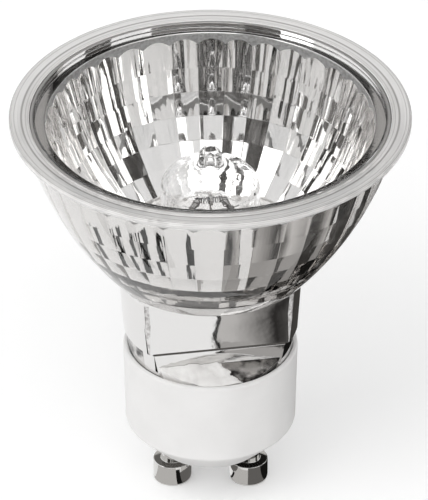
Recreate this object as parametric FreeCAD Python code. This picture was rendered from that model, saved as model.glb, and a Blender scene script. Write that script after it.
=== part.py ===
# Mains halogen spotlight lamp with a two-pin twist-lock base, standing on its contact pins.
# Millimetres, +Z up. The origin is on the floor midway between the pins, which lie along X.

import FreeCAD
import Part
import math
import os

# Contact pins
pin_pitch = 10.0
pin_head_diameter = 5.0
pin_head_height = 3.0
pin_head_chamfer = 0.25
pin_shank_diameter = 3.0
pin_reach = 6.2
pin_collar_width = 0.7
pin_collar_height = 0.7
pin_blind_end = 1.8

# Ceramic base
base_diameter = 22.6
base_draft = 0.25
base_height = 15.4
base_bevel = 4.0
base_wall = 1.6
base_floor = 5.0
base_lip = 0.55

# Reflector neck, from the base upwards
spigot_length = 5.5
stub_height = 3.1
stub_flare = 0.45
neck_step = 0.25
neck_height = 8.0
neck_flare = 0.55
neck_flats_cut = 2.7
neck_flats_rise = 1.5
neck_flats_fillet = 1.6

# Reflector bowl and rim
rim_diameter = 51.0
rim_height = 1.8
rim_edge = 0.95
rim_chamfer = 0.35
rim_overhang = 1.6
rim_land = 2.6
bowl_height = 23.5
bowl_bulge = 1.55
bowl_floor = 3.7

# Fluted and faceted mirror inside the bowl
flute_count = 36
flute_crown = 0.14
flute_flats = 4
row_leans = (74, 72, 67, 60, 52, 44)
mirror_drop = 1.65

# Front glass and its bead
glass_thickness = 1.5
glass_recess = 0.2
ledge_width = 2.0
bead_width = 0.5
bead_drop = 0.1

# Quartz capsule
capsule_diameter = 12.8
capsule_wall = 0.9
capsule_body = 3.8
capsule_dome = 4.0
dome_facets = 6
tip_diameter = 2.9
tip_height = 2.4
tip_root = 1.0
squeeze_height = 3.6
pinch_width = 11.0
pinch_thickness = 3.4
pinch_length = 13.5
capsule_seat = 0.2

# Cement
cement_side = 0.7
cement_face = 1.6
cement_end = 1.0
neck_slot_round = 1.2
base_cement_drop = 0.8
base_cement_bed = 1.5

# Filament, leads and foils
lead_pitch = 6.3
inner_lead_diameter = 0.5
outer_lead_diameter = 0.8
lead_bend = 1.6
lead_straight = 1.3
filament_diameter = 1.0
filament_bend = 0.8
filament_height = 4.2
filament_fold_width = 3.2
filament_root = 1.2
inner_lead_height = 1.5
support_diameter = 0.3
foil_width = 2.2
foil_thickness = 0.1
foil_length = 8.0
foil_margin = 2.2
weld_length = 1.5

# Clearances and the turn of the reflector on its base
bond_gap = 0.05
seat_gap = 0.1
pin_gap = 0.05
lead_gap = 0.1
eye_gap = 0.05
reflector_turn = 9.6

# Levels up the axis
base_top = pin_reach + base_height
cavity_floor = pin_reach + base_floor
spigot_end = base_top - spigot_length
step_level = base_top + stub_height
bowl_level = step_level + neck_height
rim_top = bowl_level + bowl_height
glass_top = rim_top - glass_recess
ledge_level = glass_top - glass_thickness
mirror_top = ledge_level - mirror_drop
mirror_floor = bowl_level + bowl_floor
pinch_top = mirror_floor + capsule_seat
pinch_bottom = pinch_top - pinch_length
capsule_shoulder = pinch_top + squeeze_height
dome_level = capsule_shoulder + capsule_body
foil_top = pinch_top - foil_margin
foil_bottom = foil_top - foil_length
filament_level = pinch_top + inner_lead_height
filament_top = filament_level + filament_height
pin_top = cavity_floor + pin_collar_height

# Radii
base_radius = base_diameter / 2
cavity_radius = base_radius - base_wall
lip_radius = base_radius - base_lip
bevel_radius = base_radius - base_draft
spigot_radius = cavity_radius - seat_gap
neck_flat = spigot_radius - neck_flats_cut
stub_radius = lip_radius - seat_gap
step_radius = stub_radius + stub_flare + neck_step
neck_radius = step_radius + neck_flare
rim_radius = rim_diameter / 2
recess_radius = rim_radius - rim_land
glass_radius = recess_radius - bead_width
ledge_radius = recess_radius - ledge_width
capsule_radius = capsule_diameter / 2
shank_radius = pin_shank_diameter / 2
collar_radius = shank_radius + pin_collar_width
lead_bore_radius = outer_lead_diameter / 2 + lead_gap
neck_slot_x = pinch_width / 2 + cement_side
neck_slot_y = pinch_thickness / 2 + cement_face
overshoot = 1.0

axis_start = FreeCAD.Vector(0, 0, 0)
axis_up = FreeCAD.Vector(0, 0, 1)


def at(point):
    """A point of a half section, given as (radius, height)."""
    return FreeCAD.Vector(point[0], 0, point[1])


def line(start, end):
    return Part.LineSegment(start, end).toShape()


def arc(start, through, end):
    return Part.Arc(start, through, end).toShape()


def section(start, *steps):
    """Closed half section. A step is an end point, or a (through, end) pair for an arc."""
    edges = []
    here = start
    for step in steps + (start,):
        if isinstance(step[0], tuple):
            through, end = step
            edges.append(arc(at(here), at(through), at(end)))
        else:
            end = step
            edges.append(line(at(here), at(end)))
        here = end
    return Part.Face(Part.Wire(edges))


def turned(face):
    """The solid that a half section sweeps out about the lamp's axis."""
    return face.revolve(axis_start, axis_up, 360)


def bulged(start, end, bulge):
    """The middle of an arc that climbs between two points and bulges outwards from their chord."""
    run = (end[0] - start[0], end[1] - start[1])
    length = math.hypot(*run)
    middle = ((start[0] + end[0]) / 2, (start[1] + end[1]) / 2)
    return (middle[0] + run[1] / length * bulge, middle[1] - run[0] / length * bulge)


def block(half_x, half_y, low, high):
    """A box centred on the axis."""
    corner = FreeCAD.Vector(-half_x, -half_y, low)
    return Part.makeBox(2 * half_x, 2 * half_y, high - low, corner)


def rounded_block(half_x, half_y, low, high, radius):
    """A box centred on the axis with its upright edges rounded."""
    shape = block(half_x, half_y, low, high)
    upright = [edge for edge in shape.Edges if abs(edge.tangentAt(edge.FirstParameter).z) > 0.5]
    return shape.makeFillet(radius, upright)


def bent_wire(points, bend, diameter):
    """A round wire along straight runs joined by tangent arcs."""
    edges = []
    here = points[0]
    for before, corner, after in zip(points, points[1:], points[2:]):
        arrive = (corner - before).normalize()
        leave = (after - corner).normalize()
        half_turn = arrive.getAngle(leave) / 2
        setback = bend * math.tan(half_turn)
        start = corner - arrive * setback
        end = corner + leave * setback
        inward = (leave - arrive).normalize()
        middle = corner + inward * bend * (1 / math.cos(half_turn) - 1)
        edges.append(line(here, start))
        edges.append(arc(start, middle, end))
        here = end
    edges.append(line(here, points[-1]))
    ring = Part.Wire(Part.makeCircle(diameter / 2, points[0], points[1] - points[0]))
    return Part.Wire(edges).makePipeShell([ring], True, True)


def with_reflector(shape):
    """Turns a shape on the axis, as the reflector sits on its base."""
    copy = shape.copy()
    copy.rotate(axis_start, axis_up, reflector_turn)
    return copy


def contact_pin(side):
    """Headed pin, riveted over a collar inside the base and bored for its lead."""
    head = pin_head_diameter / 2
    profile = section(
        (0, 0),
        (head - pin_head_chamfer, 0),
        (head, pin_head_chamfer),
        (head, pin_head_height),
        (shank_radius, pin_head_height),
        (shank_radius, cavity_floor),
        (collar_radius, cavity_floor),
        (collar_radius, pin_top),
        (lead_bore_radius, pin_top),
        (lead_bore_radius, pin_blind_end),
        (0, pin_blind_end),
    )
    pin = turned(profile)
    pin.translate(FreeCAD.Vector(side * pin_pitch / 2, 0, 0))
    return pin


def base_body():
    """Ceramic cup: bevelled bottom, slight draft, chamfered lip and two pin holes."""
    bevel_top = pin_reach + base_bevel
    profile = section(
        (0, pin_reach),
        (bevel_radius - base_bevel, pin_reach),
        (bevel_radius, bevel_top),
        (base_radius, base_top - base_lip),
        (lip_radius, base_top),
        (cavity_radius, base_top - (lip_radius - cavity_radius)),
        (cavity_radius, cavity_floor),
        (0, cavity_floor),
    )
    cup = turned(profile)
    for side in (-1, 1):
        foot = FreeCAD.Vector(side * pin_pitch / 2, 0, pin_reach - overshoot)
        hole = Part.makeCylinder(shank_radius + pin_gap, base_floor + 2 * overshoot, foot)
        cup = cup.cut(hole)
    return cup


def flute_wire(radius, level):
    """One closed ring of flutes: each bows inwards from the straight line between two cusps."""
    turn = 2 * math.pi / flute_count
    points = []
    for index in range(flute_count * flute_flats):
        across = index % flute_flats / flute_flats - 0.5
        straight = math.cos(turn / 2) / math.cos(turn * across)
        crown = flute_crown / ledge_radius * (1 - 4 * across * across)
        reach = radius * (straight - crown)
        angle = turn * (index / flute_flats - 0.5)
        points.append(FreeCAD.Vector(reach * math.cos(angle), reach * math.sin(angle), level))
    return Part.makePolygon(points + points[:1])


def mirror_hollow():
    """The hollow of the bowl: flutes in straight facet rows that end in arches on a round wall."""
    leans = [math.radians(lean) for lean in row_leans]
    length = (mirror_top - mirror_floor) / sum(math.sin(lean) for lean in leans)
    past = mirror_drop + overshoot
    wires = [flute_wire(ledge_radius + past / math.tan(leans[0]), mirror_top + past)]
    radius = ledge_radius
    level = mirror_top
    for lean in leans:
        radius -= length * math.cos(lean)
        level -= length * math.sin(lean)
        wires.append(flute_wire(radius, level))
    flutes = Part.makeLoft(wires, True, True)
    wall = Part.makeCylinder(ledge_radius, past + mirror_top, axis_start)
    return flutes.common(wall)


def neck_flat_cutters():
    """What the two flats take off the neck, which stands out by a step below the step line."""
    reach = neck_radius + neck_flats_rise + overshoot
    ceiling = bowl_level + neck_flats_rise
    corner = FreeCAD.Vector(-reach, neck_flat, step_level)
    upper = Part.makeBox(2 * reach, reach, ceiling - step_level, corner)
    for edge in upper.Edges:
        middle = edge.CenterOfMass
        if abs(middle.y - neck_flat) < 1e-6 and abs(middle.z - ceiling) < 1e-6:
            inner_top_edge = edge
    upper = upper.makeFillet(neck_flats_fillet, [inner_top_edge])
    low = spigot_end - overshoot
    corner = FreeCAD.Vector(-reach, neck_flat + neck_step, low)
    lower = Part.makeBox(2 * reach, reach, step_level - low, corner)
    cutters = []
    for half_turn in (0, 180):
        for shape in (upper, lower):
            copy = shape.copy()
            copy.rotate(axis_start, axis_up, half_turn)
            cutters.append(copy)
    return cutters


def reflector():
    """Pressed glass: rim with a seat, bowl, mirror hollow, flat-sided neck and spigot."""
    bowl_start = (neck_radius, bowl_level)
    bowl_end = (rim_radius - rim_overhang, rim_top - rim_height)
    profile = section(
        (0, spigot_end),
        (spigot_radius, spigot_end),
        (spigot_radius, base_top - (stub_radius - spigot_radius)),
        (stub_radius, base_top),
        (stub_radius + stub_flare, step_level),
        (step_radius, step_level),
        bowl_start,
        (bulged(bowl_start, bowl_end, bowl_bulge), bowl_end),
        (rim_radius, rim_top - rim_edge),
        (rim_radius, rim_top - rim_chamfer),
        (rim_radius - rim_chamfer, rim_top),
        (recess_radius, glass_top),
        (recess_radius, ledge_level),
        (0, ledge_level),
    )
    glass = turned(profile).cut(mirror_hollow())
    low = spigot_end - overshoot
    slot = rounded_block(neck_slot_x, neck_slot_y, low, mirror_floor + overshoot, neck_slot_round)
    glass = glass.cut(slot)
    return with_reflector(glass.cut(neck_flat_cutters()))


def front_glass():
    low = FreeCAD.Vector(0, 0, ledge_level)
    return Part.makeCylinder(glass_radius, glass_thickness, low)


def front_glass_bead():
    """Silicone ring between the disc and the rim."""
    inner = glass_radius + bond_gap
    outer = recess_radius - bond_gap
    low = ledge_level + bond_gap
    high = glass_top - bead_drop
    return turned(section((inner, low), (outer, low), (outer, high), (inner, high)))


def squeezed(radius, half_thickness, low, high):
    """The part of a tube that the jaws press flat, tapering down to the pinch."""
    tube = Part.makeCylinder(radius, high - low, FreeCAD.Vector(0, 0, low))
    corners = [(-radius, high), (radius, high), (half_thickness, low), (-half_thickness, low)]
    points = [FreeCAD.Vector(-radius, y, z) for y, z in corners]
    face = Part.Face(Part.makePolygon(points + points[:1]))
    return tube.common(face.extrude(FreeCAD.Vector(2 * radius, 0, 0)))


def domed(radius, rise, low, high):
    """A round bar whose top is half an ellipsoid, in a few conical steps."""
    profile = [(radius, low)]
    for step in range(dome_facets):
        angle = math.pi / 2 * step / dome_facets
        profile.append((radius * math.cos(angle), high + rise * math.sin(angle)))
    return turned(section((0, low), *profile, (0, high + rise)))


def capsule_envelope(embedded):
    """Quartz tube with a domed end, exhaust tip and pinch, open only to what is sealed in it."""
    crown = dome_level + capsule_dome
    tip_radius = tip_diameter / 2
    tip = domed(tip_radius, tip_radius, crown - tip_root, crown + tip_height - tip_radius)
    outside = domed(capsule_radius, capsule_dome, capsule_shoulder, dome_level).fuse([
        squeezed(capsule_radius, pinch_thickness / 2, pinch_top, capsule_shoulder),
        block(pinch_width / 2, pinch_thickness / 2, pinch_bottom, pinch_top),
        tip,
    ]).removeSplitter()
    bore = capsule_radius - capsule_wall
    hollow = domed(bore, capsule_dome - capsule_wall, capsule_shoulder, dome_level).fuse(
        squeezed(bore, pinch_thickness / 2 - capsule_wall, pinch_top + capsule_wall, capsule_shoulder)
    ).removeSplitter()
    return with_reflector(outside.cut(hollow)).cut(embedded)


def capsule_cement():
    """Cement round the pinch, filling the slot in the neck."""
    low = pinch_bottom + cement_end
    high = pinch_top - cement_end
    fill = rounded_block(neck_slot_x - bond_gap, neck_slot_y - bond_gap, low, high, neck_slot_round)
    half_x = pinch_width / 2 + bond_gap
    half_y = pinch_thickness / 2 + bond_gap
    return with_reflector(fill.cut(block(half_x, half_y, low - overshoot, high + overshoot)))


def base_cement():
    """Cement under the spigot and in the two gaps beside the neck's flats."""
    radius = cavity_radius - bond_gap
    low = spigot_end - base_cement_bed
    top = base_top - base_cement_drop
    fill = Part.makeCylinder(radius, top - low, FreeCAD.Vector(0, 0, low))
    flat = neck_flat + neck_step + bond_gap
    room = pin_pitch / 2 + collar_radius + lead_gap
    well = Part.makeCylinder(room, top - low, FreeCAD.Vector(0, 0, low))
    spigot_room = block(base_radius, flat, spigot_end - bond_gap, base_top)
    well = well.common(block(base_radius, flat, low, base_top))
    return with_reflector(fill.cut([spigot_room, well]))


def seal_foil(side):
    half = foil_width / 2
    corner = FreeCAD.Vector(side * lead_pitch / 2 - half, -foil_thickness / 2, foil_bottom)
    return with_reflector(Part.makeBox(foil_width, foil_thickness, foil_length, corner))


def inner_lead(side, foil):
    """Stiff wire from the foil up to the filament, forked over the foil where it is welded."""
    foot = FreeCAD.Vector(side * lead_pitch / 2, 0, foil_top - weld_length)
    wire = Part.makeCylinder(inner_lead_diameter / 2, filament_level - foot.z, foot)
    return with_reflector(wire).cut(foil)


def outer_lead(side, foil):
    """Wire from the foil out of the pinch and down into the bore of its pin."""
    turn = math.radians(reflector_turn)
    start_x = side * lead_pitch / 2 * math.cos(turn)
    start_y = side * lead_pitch / 2 * math.sin(turn)
    pin_x = side * pin_pitch / 2
    points = [
        FreeCAD.Vector(start_x, start_y, foil_bottom + weld_length),
        FreeCAD.Vector(start_x, start_y, pinch_bottom - lead_straight),
        FreeCAD.Vector(pin_x, 0, pin_top + lead_straight),
        FreeCAD.Vector(pin_x, 0, pin_blind_end + lead_gap),
    ]
    return bent_wire(points, lead_bend, outer_lead_diameter).cut(foil)


def filament():
    """The outer form of the coiled filament, folded over the support's eye."""
    foot = lead_pitch / 2
    fold = filament_fold_width / 2
    right_side = [(foot, filament_level), (foot, filament_level + filament_root), (fold, filament_top)]
    left_side = [(-x, z) for x, z in reversed(right_side)]
    points = [FreeCAD.Vector(x, 0, z) for x, z in right_side + left_side]
    return with_reflector(bent_wire(points, filament_bend, filament_diameter))


def filament_support():
    """Wire set in the pinch, with an eye round the top of the filament."""
    wire_radius = support_diameter / 2
    eye_radius = filament_diameter / 2 + eye_gap + wire_radius
    foot = FreeCAD.Vector(0, 0, foil_top)
    stem = Part.makeCylinder(wire_radius, filament_top - eye_radius - foil_top, foot)
    along = FreeCAD.Vector(1, 0, 0)
    edge = FreeCAD.Vector(-wire_radius, 0, filament_top)
    ring = Part.makeCylinder(eye_radius + wire_radius, support_diameter, edge, along)
    eye = ring.cut(Part.makeCylinder(eye_radius - wire_radius, support_diameter, edge, along))
    return with_reflector(stem.fuse(eye))


nodes = {
    "base_body": base_body(),
    "base_cement": base_cement(),
    "reflector": reflector(),
    "front_glass": front_glass(),
    "front_glass_bead": front_glass_bead(),
    "capsule_cement": capsule_cement(),
    "filament": filament(),
    "filament_support": filament_support(),
}

sealed_in = [nodes["filament_support"]]
for side, name in ((-1, "left"), (1, "right")):
    foil = seal_foil(side)
    inner = inner_lead(side, foil)
    outer = outer_lead(side, foil)
    sealed_in += [foil, inner, outer]
    nodes["contact_pin_" + name] = contact_pin(side)
    nodes["seal_foil_" + name] = foil
    nodes["inner_lead_" + name] = inner
    nodes["outer_lead_" + name] = outer
nodes["capsule_envelope"] = capsule_envelope(sealed_in)

os.makedirs("parts", exist_ok=True)
for name, shape in nodes.items():
    solids = shape.Solids
    body = solids[0] if len(solids) == 1 else Part.makeCompound(solids)
    body.exportStep("parts/" + name + ".step")
    print(name, len(solids), "solid", round(body.Volume, 2), "mm3", "valid" if body.isValid() else "INVALID")
print("overall", rim_diameter, "x", rim_diameter, "x", round(rim_top, 3))
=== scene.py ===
# %% [markdown]
# # A halogen spotlight lamp, dressed around its solids
# The solids of this lamp are already made and packed, and they fix every size and place.
# This script adds what the eye needs on top of them: clear pressed glass, a mirror film, fired ceramic,
# cement and plated metal, with a plain white studio around the lamp.
# Each step says what the piece is on the real lamp, how it could be made, and why this way was chosen.

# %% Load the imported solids
import math

import bmesh
import bpy
from mathutils import Matrix, Vector, noise


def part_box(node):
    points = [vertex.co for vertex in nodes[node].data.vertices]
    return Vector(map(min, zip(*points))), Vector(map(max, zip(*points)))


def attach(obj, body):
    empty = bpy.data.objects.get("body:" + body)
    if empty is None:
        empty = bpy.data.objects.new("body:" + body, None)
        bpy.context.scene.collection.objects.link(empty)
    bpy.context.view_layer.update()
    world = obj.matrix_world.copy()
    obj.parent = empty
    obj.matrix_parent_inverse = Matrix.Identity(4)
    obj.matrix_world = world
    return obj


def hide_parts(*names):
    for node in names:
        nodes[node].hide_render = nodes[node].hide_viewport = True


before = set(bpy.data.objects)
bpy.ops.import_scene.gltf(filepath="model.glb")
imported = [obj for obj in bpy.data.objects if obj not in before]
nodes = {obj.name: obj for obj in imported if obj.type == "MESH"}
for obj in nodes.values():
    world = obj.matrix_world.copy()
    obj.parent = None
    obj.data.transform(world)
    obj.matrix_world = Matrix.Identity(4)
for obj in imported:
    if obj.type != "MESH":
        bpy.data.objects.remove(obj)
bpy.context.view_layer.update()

scene = bpy.context.scene
print("solids loaded:", len(nodes))

# %% [markdown]
# ## Millimetres
# Blender works in metres here, but a lamp is measured in millimetres.
# Each mesh is therefore shaped in millimetres and scaled once, when it becomes an object.
# Sizes that the solids already hold are read from their boxes and aren't typed again.

# %% Units and the levels of the lamp
MM = 0.001


def box_mm(node):
    """Lowest and highest corner of a solid, in millimetres."""
    low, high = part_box(node)
    return low / MM, high / MM


base_low, base_high = box_mm("base_body")
reflector_low, reflector_high = box_mm("reflector")
disc_low, disc_high = box_mm("front_glass")
capsule_low, capsule_high = box_mm("capsule_envelope")
base_radius = base_high.x
rim_radius = reflector_high.x
rim_top = reflector_high.z
base_top = base_high.z
ledge_level = disc_low.z
reflector_turn = math.radians(9.6)
print("rim radius %.2f mm, height %.2f mm" % (rim_radius, rim_top))

# %% [markdown]
# ## The camera
# The photograph looks down at the lamp from about a third of a right angle, from far away, so a long lens
# keeps the sides of the lamp nearly parallel.
# The camera could be placed by eye. It is placed by an elevation, a distance and a focal length that were
# fitted to the lamp's outline, because a mirror shows every mistake in the viewing angle.

# %% Make the camera
camera_elevation = math.radians(33.5)
camera_distance = 800.0
camera_target = Vector((0.46, 0, 35.48))
lens_mm = 449.3

camera_data = bpy.data.cameras.new("camera")
camera_data.lens = lens_mm
camera_data.clip_end = 10
camera = bpy.data.objects.new("camera", camera_data)
backwards = Vector((0, -math.cos(camera_elevation), math.sin(camera_elevation)))
camera.location = (camera_target + backwards * camera_distance) * MM
camera.rotation_euler = (-backwards).to_track_quat("-Z", "Y").to_euler()
scene.collection.objects.link(camera)
scene.camera = camera
print("camera at", [round(c, 4) for c in camera.location])

# %% [markdown]
# ## Spinning a piece
# Nearly everything on a lamp is turned, pressed in a round mould or drawn on a lathe.
# A half outline that spins about the axis is therefore the natural start for each piece, as on a lathe.
# Sharp corners never catch light on a real edge, so chosen rings are bevelled after the spin.

# %% Spin and soften
FULL_TURN = 2 * math.pi
# Points nearer than MERGE millimetres are merged, and those nearer than CLOSE count as one place.
MERGE = 1e-4
CLOSE = 1e-3


def spun(outline, steps, closed=False):
    """A bmesh of the (radius, height) points, joined in order and spun about the axis."""
    bm = bmesh.new()
    verts = [bm.verts.new((radius, 0, height)) for radius, height in outline]
    pairs = list(zip(verts, verts[1:]))
    if closed:
        pairs.append((verts[-1], verts[0]))
    edges = [bm.edges.new(pair) for pair in pairs]
    bmesh.ops.spin(bm, geom=verts + edges, cent=(0, 0, 0), axis=(0, 0, 1), angle=FULL_TURN,
                   steps=steps, use_merge=True)
    bmesh.ops.remove_doubles(bm, verts=bm.verts, dist=MERGE)
    bmesh.ops.recalc_face_normals(bm, faces=bm.faces)
    return bm


def on_ring(vert, radius, height):
    """Whether a vertex lies on the circle of this radius and height."""
    return abs(vert.co.z - height) < CLOSE and abs(vert.co.xy.length - radius) < CLOSE


def soften(bm, radius, height, width, segments=4):
    """Rounds the circular edge at this radius and height."""
    edges = [edge for edge in bm.edges if all(on_ring(vert, radius, height) for vert in edge.verts)]
    bmesh.ops.bevel(bm, geom=edges, offset=width, affect="EDGES", segments=segments, profile=0.5,
                    material=-1)


# %% [markdown]
# ## From mesh to piece
# Holes and flats that cross a spun shape don't follow its rings, so they are cut with Booleans.
# A finished mesh gets smooth shading with its sharp edges marked, and is scaled to metres.
# Then it is parented to the lamp's body and takes its materials, and the solids it stands for are hidden.

# %% Cut, shade and hand over
def bare_object(bm, name):
    """An object of this bmesh, which is freed."""
    mesh = bpy.data.meshes.new(name)
    bm.to_mesh(mesh)
    bm.free()
    made = bpy.data.objects.new(name, mesh)
    scene.collection.objects.link(made)
    return made


def cut_away(bm, cutters):
    """The bmesh with the cutters taken out of it by exact Booleans."""
    body = bare_object(bm, "body")
    tools = [bare_object(cutter, "cutter") for cutter in cutters]
    for tool in tools:
        modifier = body.modifiers.new("cut", "BOOLEAN")
        modifier.object = tool
        modifier.solver = "EXACT"
    result = bmesh.new()
    result.from_object(body, bpy.context.evaluated_depsgraph_get())
    for spent in [body] + tools:
        bpy.data.meshes.remove(spent.data)
    return result


def take_in(bm, other):
    """Adds another bmesh to this one."""
    mesh = bpy.data.meshes.new("taken_in")
    other.to_mesh(mesh)
    other.free()
    bm.from_mesh(mesh)
    bpy.data.meshes.remove(mesh)


def turn_with_reflector(bm):
    """Turns a mesh about the axis as far as the reflector stands turned in its base."""
    bmesh.ops.rotate(bm, cent=(0, 0, 0), matrix=Matrix.Rotation(reflector_turn, 3, "Z"), verts=bm.verts)


def sharpen(bm, degrees):
    """Smooth shading, broken at the edges that turn by more than this angle."""
    limit = math.radians(degrees)
    for face in bm.faces:
        face.smooth = True
    for edge in bm.edges:
        edge.smooth = edge.calc_face_angle(0) < limit


def finish_piece(bm, name, slot, materials, *replaced):
    """Turns a bmesh in millimetres into a piece that rides on the lamp and stands for solids."""
    bmesh.ops.scale(bm, vec=(MM, MM, MM), verts=bm.verts)
    piece = bare_object(bm, name)
    for material in materials:
        piece.data.materials.append(material)
    even = piece.modifiers.new("flat faces stay flat", "WEIGHTED_NORMAL")
    even.keep_sharp = True
    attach(piece, "root")
    if replaced:
        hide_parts(*replaced)
    print(name, len(piece.data.polygons), "faces")


# %% [markdown]
# ## Building a finish
# A finish is a small tree of shader nodes. Every tree here needs the same three things: a colour written as
# the eye knows it, a pattern at its real size, and nodes that are made and linked in one line.
# One function adds any kind of node, so that a tree reads from top to bottom like a recipe.

# %% Colours, sizes and nodes
def colour(code):
    """The linear colour of an sRGB hex code such as '#e8e6e2'."""
    parts = [int(code[place:place + 2], 16) / 255 for place in (1, 3, 5)]
    linear = [p / 12.92 if p <= 0.04045 else ((p + 0.055) / 1.055) ** 2.4 for p in parts]
    return (*linear, 1)


def per_mm(size):
    """The texture scale that gives features of this size in millimetres."""
    return 1 / (size * MM)


def add_node(tree, kind, inputs=None, stops=(), **settings):
    """Adds a node with its settings and colour stops, and sets or links its inputs by name or number."""
    made = tree.nodes.new(kind)
    for name, value in settings.items():
        setattr(made, name, value)
    for number, (position, code) in enumerate(stops):
        elements = made.color_ramp.elements
        element = elements[number] if number < len(elements) else elements.new(position)
        element.position = position
        element.color = colour(code)
    for socket, value in (inputs or {}).items():
        if isinstance(value, bpy.types.Node):
            value = value.outputs[0]
        if isinstance(value, bpy.types.NodeSocket):
            tree.links.new(value, made.inputs[socket])
        else:
            made.inputs[socket].default_value = value
    return made


def new_material(name):
    """An empty material and its node tree."""
    material = bpy.data.materials.new(name)
    material.use_nodes = True
    material.node_tree.nodes.clear()
    return material, material.node_tree


def shown(material, shader):
    """The material, with this shader as its surface."""
    add_node(material.node_tree, "ShaderNodeOutputMaterial", {"Surface": shader})
    print("finish", material.name, len(material.node_tree.nodes), "nodes")
    return material


# %% [markdown]
# ## The ceramic base
# The base is a cup of pressed and fired steatite, a dense white ceramic with a dull sheen.
# Up close it isn't one white: it has a faint cloudiness from the firing, fine grit, and a few dark specks.
# Noise at three sizes gives the clouds, the specks and the grit, and the grit is a very shallow bump.

# %% Fired steatite
def fired_steatite():
    """Matt white ceramic: broad soft highlight, faint clouds, rare specks."""
    material, tree = new_material("steatite_fired_white")
    place = add_node(tree, "ShaderNodeTexCoord").outputs["Object"]
    clouds = add_node(tree, "ShaderNodeTexNoise", {"Vector": place, "Scale": per_mm(6), "Detail": 3})
    grit = add_node(tree, "ShaderNodeTexNoise", {"Vector": place, "Scale": per_mm(0.35), "Detail": 2})
    specks = add_node(tree, "ShaderNodeTexNoise", {"Vector": place, "Scale": per_mm(0.9), "Detail": 1})
    tint = add_node(tree, "ShaderNodeValToRGB", {"Fac": clouds}, stops=[(0.3, "#e4e3e2"), (0.7, "#eae9e8")])
    rare = add_node(tree, "ShaderNodeMapRange", {"Value": specks, 1: 0.8, 2: 0.84})
    spotted = add_node(tree, "ShaderNodeMix", {"Factor": rare, 6: tint, 7: colour("#cfccc8")},
                       data_type="RGBA").outputs[2]
    bump = add_node(tree, "ShaderNodeBump", {"Height": grit, "Strength": 0.12, "Distance": 0.02 * MM})
    return shown(material, add_node(tree, "ShaderNodeBsdfPrincipled", {
        "Base Color": spotted, "Roughness": 0.42, "Normal": bump}))


steatite = fired_steatite()

# %% [markdown]
# The cup is spun from its half section: a bevelled bottom, slightly drafted sides, a rounded lip and a
# hollow. It could also be a cylinder that is inset and extruded, but the section shows all its sizes at once.
# The two pin holes are cut with a Boolean, because holes that cross a spun floor don't follow its rings.

# %% Spin the base
ROUND_STEPS = 192
base_draft = 0.25
base_bevel = 4.0
base_wall = 1.6
base_floor = 5.0
base_lip = 0.55
pin_pitch = 10.0
pin_hole_radius = 1.55

bottom = base_low.z
cavity_radius = base_radius - base_wall
cavity_floor = bottom + base_floor
bevel_radius = base_radius - base_draft
mouth_drop = base_wall - base_lip
base = spun([
    (0, bottom),
    (bevel_radius - base_bevel, bottom),
    (bevel_radius, bottom + base_bevel),
    (base_radius, base_top),
    (cavity_radius + mouth_drop, base_top),
    (cavity_radius, base_top - mouth_drop),
    (cavity_radius, cavity_floor),
    (0, cavity_floor),
], ROUND_STEPS)
soften(base, base_radius, base_top, width=base_lip * 0.9, segments=6)
soften(base, bevel_radius, bottom + base_bevel, width=0.25, segments=5)
soften(base, bevel_radius - base_bevel, bottom, width=0.3, segments=5)
soften(base, cavity_radius, base_top - mouth_drop, width=0.3)

holes = []
for side in (-1, 1):
    hole = bmesh.new()
    place = Matrix.Translation((side * pin_pitch / 2, 0, bottom + base_floor / 2))
    bmesh.ops.create_cone(hole, cap_ends=True, segments=48, radius1=pin_hole_radius, radius2=pin_hole_radius,
                          depth=base_floor * 2, matrix=place)
    holes.append(hole)
base = cut_away(base, holes)
sharpen(base, 40)
finish_piece(base, "ceramic_base", "steatite", [steatite], "base_body")

# %% [markdown]
# ## The contact pins
# Each pin is a turned stud with a thick head that locks in the lampholder, plated with bright nickel.
# Plating is a metal skin, so it has no colour below its reflection: it shows the studio, a little blurred.
# Very fine turning rings run round it. They are too fine to see one by one, so they are drawn coarser here.

# %% Bright nickel plate
def bright_nickel():
    """Plated turned metal: a clear grey mirror with rings round the stud."""
    material, tree = new_material("nickel_plate_bright")
    place = add_node(tree, "ShaderNodeTexCoord").outputs["Object"]
    squash = add_node(tree, "ShaderNodeMapping", {"Vector": place, "Scale": (0.05, 0.05, 1)})
    rings = add_node(tree, "ShaderNodeTexNoise", {"Vector": squash, "Scale": per_mm(0.12), "Detail": 2})
    clouds = add_node(tree, "ShaderNodeTexNoise", {"Vector": place, "Scale": per_mm(1.2), "Detail": 3})
    blur = add_node(tree, "ShaderNodeMapRange", {"Value": clouds, 1: 0.3, 2: 0.7, 3: 0.05, 4: 0.1})
    bump = add_node(tree, "ShaderNodeBump", {"Height": rings, "Strength": 0.15, "Distance": 0.01 * MM})
    return shown(material, add_node(tree, "ShaderNodeBsdfPrincipled", {
        "Base Color": colour("#d6d5d3"), "Metallic": 1.0, "Roughness": blur, "Normal": bump}))


nickel_plate = bright_nickel()

# %% [markdown]
# A pin is one spin: the flat end that makes contact, the head, the thinner shank, and inside the base a
# collar that is riveted over, with a bore down the middle for the lead.
# Two pins are spun, and not one copied, because each stands for a solid of its own.

# %% Spin the two pins
PIN_STEPS = 96
pin_head_height = 3.0
pin_shank_radius = 1.5
pin_collar_radius = 2.2
pin_bore_radius = 0.5
pin_blind_end = 1.8

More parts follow.
